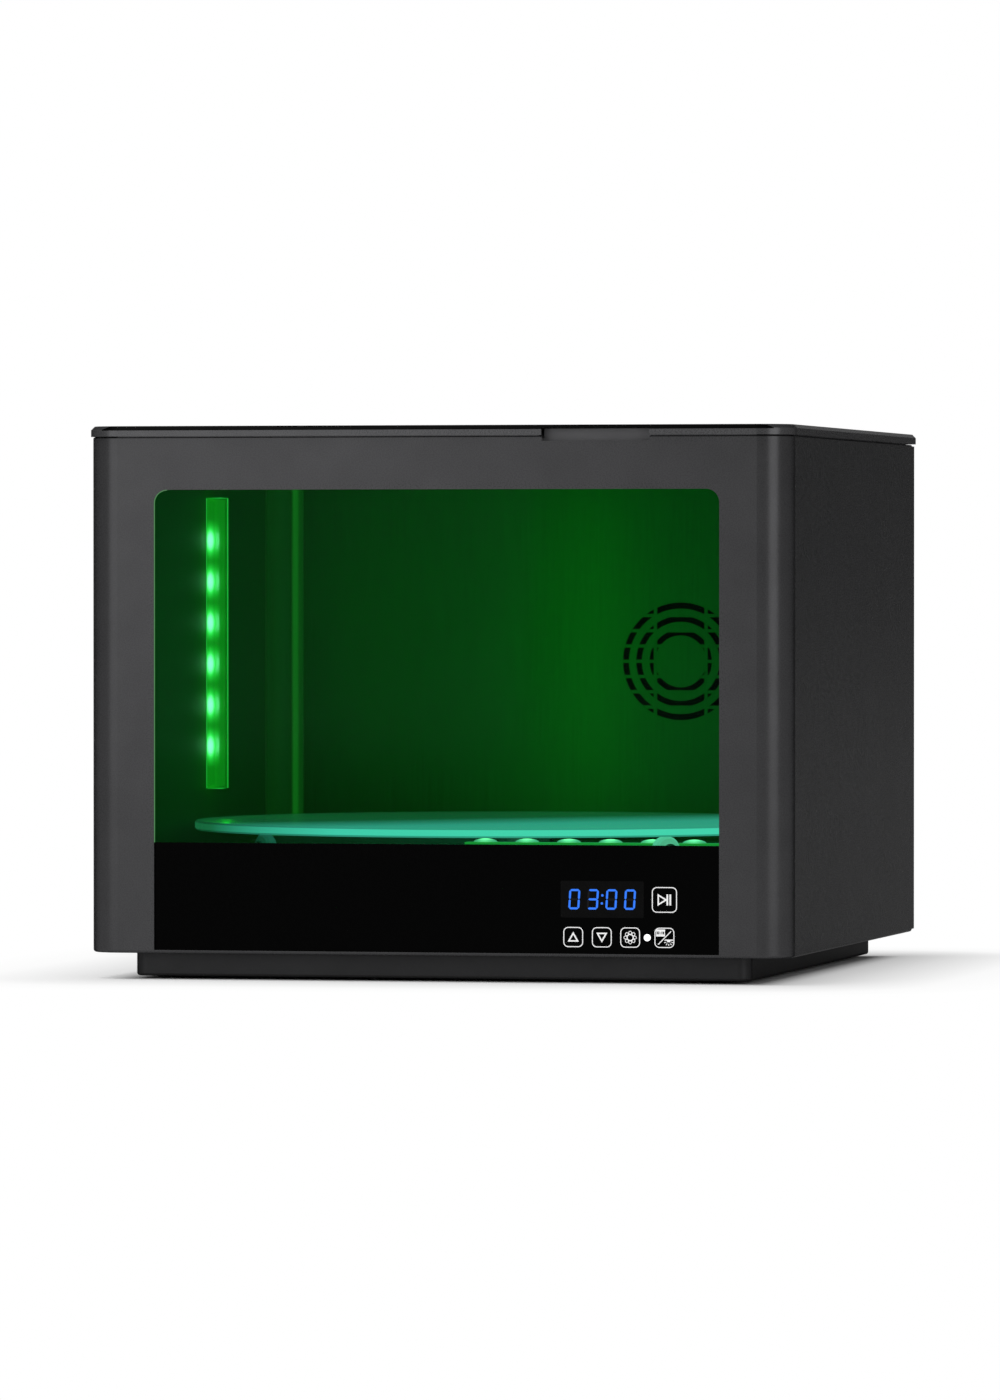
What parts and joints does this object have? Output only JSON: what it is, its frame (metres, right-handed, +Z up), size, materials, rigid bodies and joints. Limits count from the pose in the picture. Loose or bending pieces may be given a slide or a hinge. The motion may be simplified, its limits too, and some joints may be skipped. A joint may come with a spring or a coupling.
{
  "type": "resin print curing cabinet",
  "caption": "Bench-top light-curing cabinet for resin prints with a hinged top lid, green window, turntable on rollers, light bars, touch timer panel and rear fan.",
  "frame": {"origin": "on the bench, under the middle of the overall box", "axes": "+Z up, -Y towards the front window, +X to the right seen from the front"},
  "size_m": [0.488, 0.4945, 0.375],
  "materials": {
    "case_paint": "satin graphite powder coat",
    "lid_paint": "satin graphite",
    "plinth_plastic": "matt",
    "foot_rubber": "matt",
    "liner_metal": "satin reflector sheet",
    "window_acrylic": "clear green, polished",
    "fascia_black": "polished black",
    "cover_clear": "clear, polished",
    "disc_acrylic": "translucent, polished",
    "foam_black": "closed-cell foam",
    "bare_steel": "plated",
    "screw_black": "black oxide",
    "roller_white": "moulded",
    "board_green": "solder mask",
    "lamp_white": "lens",
    "part_black": "moulded",
    "motor_metal": "turned",
    "magnet_metal": "plated"
  },
  "bodies": {
    "cabinet": {"front_bezel": "case_paint", "left_side_panel": "case_paint", "right_side_panel": "case_paint", "rear_panel": "case_paint", "rear_rail": "case_paint", "finger_pocket": "case_paint", "bottom_pan": "case_paint", "base_plinth": "plinth_plastic", "rubber_feet": "foot_rubber", "window_seal": "foot_rubber", "chamber_floor": "liner_metal", "left_liner": "liner_metal", "right_liner": "liner_metal", "back_liner": "liner_metal", "corner_strips": "liner_metal", "floor_led_channels": "liner_metal", "window_pane": "window_acrylic", "control_fascia": "fascia_black", "left_led_cover": "cover_clear", "right_led_cover": "cover_clear", "left_post": "bare_steel", "right_post": "bare_steel", "window_clamps": "bare_steel", "motor_bracket": "bare_steel", "motor_screws": "bare_steel", "roller_brackets": "bare_steel", "roller_axles": "bare_steel", "power_supply": "bare_steel", "board_standoffs": "bare_steel", "hinge_pins": "bare_steel", "touch_pads": "bare_steel", "rear_screws": "screw_black", "hinge_body_leaves": "screw_black", "control_board": "board_green", "side_led_boards": "board_green", "floor_led_boards": "board_green", "driver_board": "board_green", "side_led_chips": "lamp_white", "floor_led_chips": "lamp_white", "status_led": "lamp_white", "timer_display": "part_black", "lid_sensor": "part_black", "fan_frame": "part_black", "power_inlet": "part_black", "switch_body": "part_black", "gear_motor": "motor_metal"},
    "lid": {"lid_panel": "lid_paint", "lid_liner": "liner_metal", "lid_gasket": "foam_black", "lid_magnet": "magnet_metal", "hinge_lid_leaves": "screw_black"},
    "turntable": {"turntable_disc": "disc_acrylic", "turntable_hub": "roller_white", "drive_shaft": "bare_steel"},
    "roller_front_right": {"roller_front_right": "roller_white"},
    "roller_rear_right": {"roller_rear_right": "roller_white"},
    "roller_rear_left": {"roller_rear_left": "roller_white"},
    "roller_front_left": {"roller_front_left": "roller_white"},
    "fan": {"fan_rotor": "part_black"},
    "rocker": {"switch_rocker": "part_black"}
  },
  "joints": [
    {"name": "lid_hinge", "type": "hinge", "parent": "cabinet", "child": "lid", "pos_m": [0, 0.24375, 0.3695], "axis": [-1, 0, 0], "range_deg": [0, 100]},
    {"name": "turntable_spin", "type": "hinge", "parent": "cabinet", "child": "turntable", "pos_m": [0, -0.01375, 0.097], "axis": [0, 0, 1], "continuous": true},
    {"name": "roller_front_right_spin", "type": "hinge", "parent": "cabinet", "child": "roller_front_right", "pos_m": [0.14001, -0.15376, 0.0867], "axis": [0.7071, -0.7071, 0], "continuous": true},
    {"name": "roller_rear_right_spin", "type": "hinge", "parent": "cabinet", "child": "roller_rear_right", "pos_m": [0.14001, 0.12626, 0.0867], "axis": [0.7071, 0.7071, 0], "continuous": true},
    {"name": "roller_rear_left_spin", "type": "hinge", "parent": "cabinet", "child": "roller_rear_left", "pos_m": [-0.14001, 0.12626, 0.0867], "axis": [-0.7071, 0.7071, 0], "continuous": true},
    {"name": "roller_front_left_spin", "type": "hinge", "parent": "cabinet", "child": "roller_front_left", "pos_m": [-0.14001, -0.15376, 0.0867], "axis": [-0.7071, -0.7071, 0], "continuous": true},
    {"name": "fan_spin", "type": "hinge", "parent": "cabinet", "child": "fan", "pos_m": [0.077, 0.223, 0.212], "axis": [0, 1, 0], "continuous": true},
    {"name": "power_rocker", "type": "hinge", "parent": "cabinet", "child": "rocker", "pos_m": [-0.125, 0.24025, 0.052], "axis": [1, 0, 0], "range_deg": [-16, 0]}
  ],
  "couplings": [
    {"joint": "roller_front_right_spin", "follows": "turntable_spin", "ratio": -19.8},
    {"joint": "roller_rear_right_spin", "follows": "turntable_spin", "ratio": -19.8},
    {"joint": "roller_rear_left_spin", "follows": "turntable_spin", "ratio": -19.8},
    {"joint": "roller_front_left_spin", "follows": "turntable_spin", "ratio": -19.8}
  ]
}
